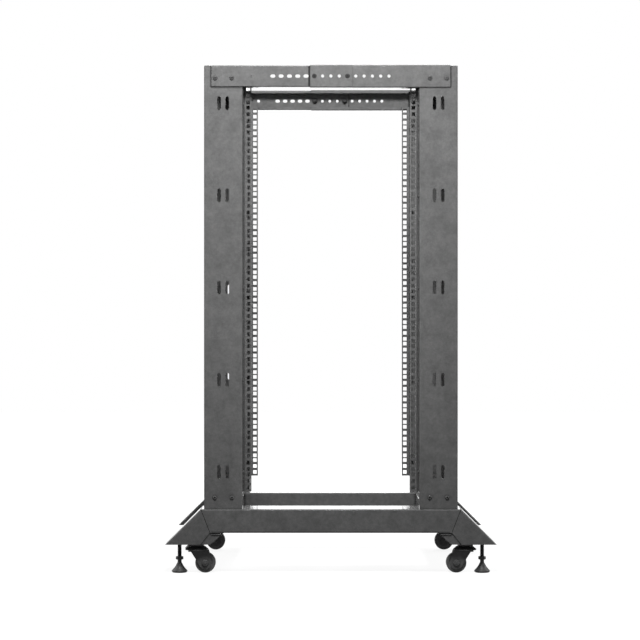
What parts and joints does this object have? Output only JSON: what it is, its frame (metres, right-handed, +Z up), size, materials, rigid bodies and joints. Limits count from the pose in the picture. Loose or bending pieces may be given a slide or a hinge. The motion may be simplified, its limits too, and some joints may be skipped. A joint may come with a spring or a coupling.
{
  "type": "open frame server rack",
  "caption": "Four post open frame rack for 19 inch equipment, with bolted telescoping top side beams, sloping outrigger feet, swivel casters and screw levelling feet.",
  "frame": {"origin": "centre of the footprint, on the floor", "axes": "+X towards the rear, +Y towards the left side seen from the front, +Z up"},
  "size_m": [0.8, 0.55, 1.2275],
  "materials": {
    "frame_paint": "fine textured powder coat",
    "caster_metal": "satin black",
    "leveller_metal": "satin black",
    "wheel_rubber": "matt black"
  },
  "bodies": {
    "frame": {"post_front_right": "frame_paint", "post_front_left": "frame_paint", "post_rear_right": "frame_paint", "post_rear_left": "frame_paint", "rail_front_right": "frame_paint", "rail_front_left": "frame_paint", "rail_rear_right": "frame_paint", "rail_rear_left": "frame_paint", "post_bracket_front_right": "frame_paint", "post_bracket_front_left": "frame_paint", "post_bracket_rear_right": "frame_paint", "post_bracket_rear_left": "frame_paint", "wedge_foot_front_right": "frame_paint", "wedge_foot_front_left": "frame_paint", "wedge_foot_rear_right": "frame_paint", "wedge_foot_rear_left": "frame_paint", "caster_plate_front_right": "caster_metal", "caster_plate_front_left": "caster_metal", "caster_plate_rear_right": "caster_metal", "caster_plate_rear_left": "caster_metal", "top_cross_beam_front": "frame_paint", "top_cross_beam_rear": "frame_paint", "bottom_cross_beam_front": "frame_paint", "bottom_cross_beam_rear": "frame_paint", "top_beam_inner_right": "frame_paint", "top_beam_inner_left": "frame_paint", "top_beam_outer_right": "frame_paint", "top_beam_outer_left": "frame_paint", "base_beam_right": "frame_paint", "base_beam_left": "frame_paint"},
    "levelling_foot_front_right": {"leveller_front_right": "leveller_metal"},
    "levelling_foot_front_left": {"leveller_front_left": "leveller_metal"},
    "levelling_foot_rear_right": {"leveller_rear_right": "leveller_metal"},
    "levelling_foot_rear_left": {"leveller_rear_left": "leveller_metal"},
    "swivel_front_right": {"caster_fork_front_right": "caster_metal"},
    "swivel_front_left": {"caster_fork_front_left": "caster_metal"},
    "swivel_rear_right": {"caster_fork_rear_right": "caster_metal"},
    "swivel_rear_left": {"caster_fork_rear_left": "caster_metal"},
    "wheel_front_right": {"caster_wheel_front_right": "wheel_rubber"},
    "wheel_front_left": {"caster_wheel_front_left": "wheel_rubber"},
    "wheel_rear_right": {"caster_wheel_rear_right": "wheel_rubber"},
    "wheel_rear_left": {"caster_wheel_rear_left": "wheel_rubber"}
  },
  "joints": [
    {"name": "caster_swivel_front_right", "type": "hinge", "parent": "frame", "child": "swivel_front_right", "pos_m": [-0.325, -0.24, 0.062], "axis": [0, 0, 1], "range_deg": [-110, 110]},
    {"name": "caster_roll_front_right", "type": "hinge", "parent": "swivel_front_right", "child": "wheel_front_right", "pos_m": [-0.304, -0.24, 0.0245], "axis": [0, 1, 0], "continuous": true},
    {"name": "levelling_screw_front_right", "type": "slide", "parent": "frame", "child": "levelling_foot_front_right", "axis": [0, 0, 1], "range_m": [-0.008, 0.005]},
    {"name": "caster_swivel_front_left", "type": "hinge", "parent": "frame", "child": "swivel_front_left", "pos_m": [-0.325, 0.24, 0.062], "axis": [0, 0, 1], "range_deg": [-110, 110]},
    {"name": "caster_roll_front_left", "type": "hinge", "parent": "swivel_front_left", "child": "wheel_front_left", "pos_m": [-0.304, 0.24, 0.0245], "axis": [0, 1, 0], "continuous": true},
    {"name": "levelling_screw_front_left", "type": "slide", "parent": "frame", "child": "levelling_foot_front_left", "axis": [0, 0, 1], "range_m": [-0.008, 0.005]},
    {"name": "caster_swivel_rear_right", "type": "hinge", "parent": "frame", "child": "swivel_rear_right", "pos_m": [0.325, -0.24, 0.062], "axis": [0, 0, 1], "range_deg": [-110, 110]},
    {"name": "caster_roll_rear_right", "type": "hinge", "parent": "swivel_rear_right", "child": "wheel_rear_right", "pos_m": [0.304, -0.24, 0.0245], "axis": [0, 1, 0], "continuous": true},
    {"name": "levelling_screw_rear_right", "type": "slide", "parent": "frame", "child": "levelling_foot_rear_right", "axis": [0, 0, 1], "range_m": [-0.008, 0.005]},
    {"name": "caster_swivel_rear_left", "type": "hinge", "parent": "frame", "child": "swivel_rear_left", "pos_m": [0.325, 0.24, 0.062], "axis": [0, 0, 1], "range_deg": [-110, 110]},
    {"name": "caster_roll_rear_left", "type": "hinge", "parent": "swivel_rear_left", "child": "wheel_rear_left", "pos_m": [0.304, 0.24, 0.0245], "axis": [0, 1, 0], "continuous": true},
    {"name": "levelling_screw_rear_left", "type": "slide", "parent": "frame", "child": "levelling_foot_rear_left", "axis": [0, 0, 1], "range_m": [-0.008, 0.005]}
  ]
}
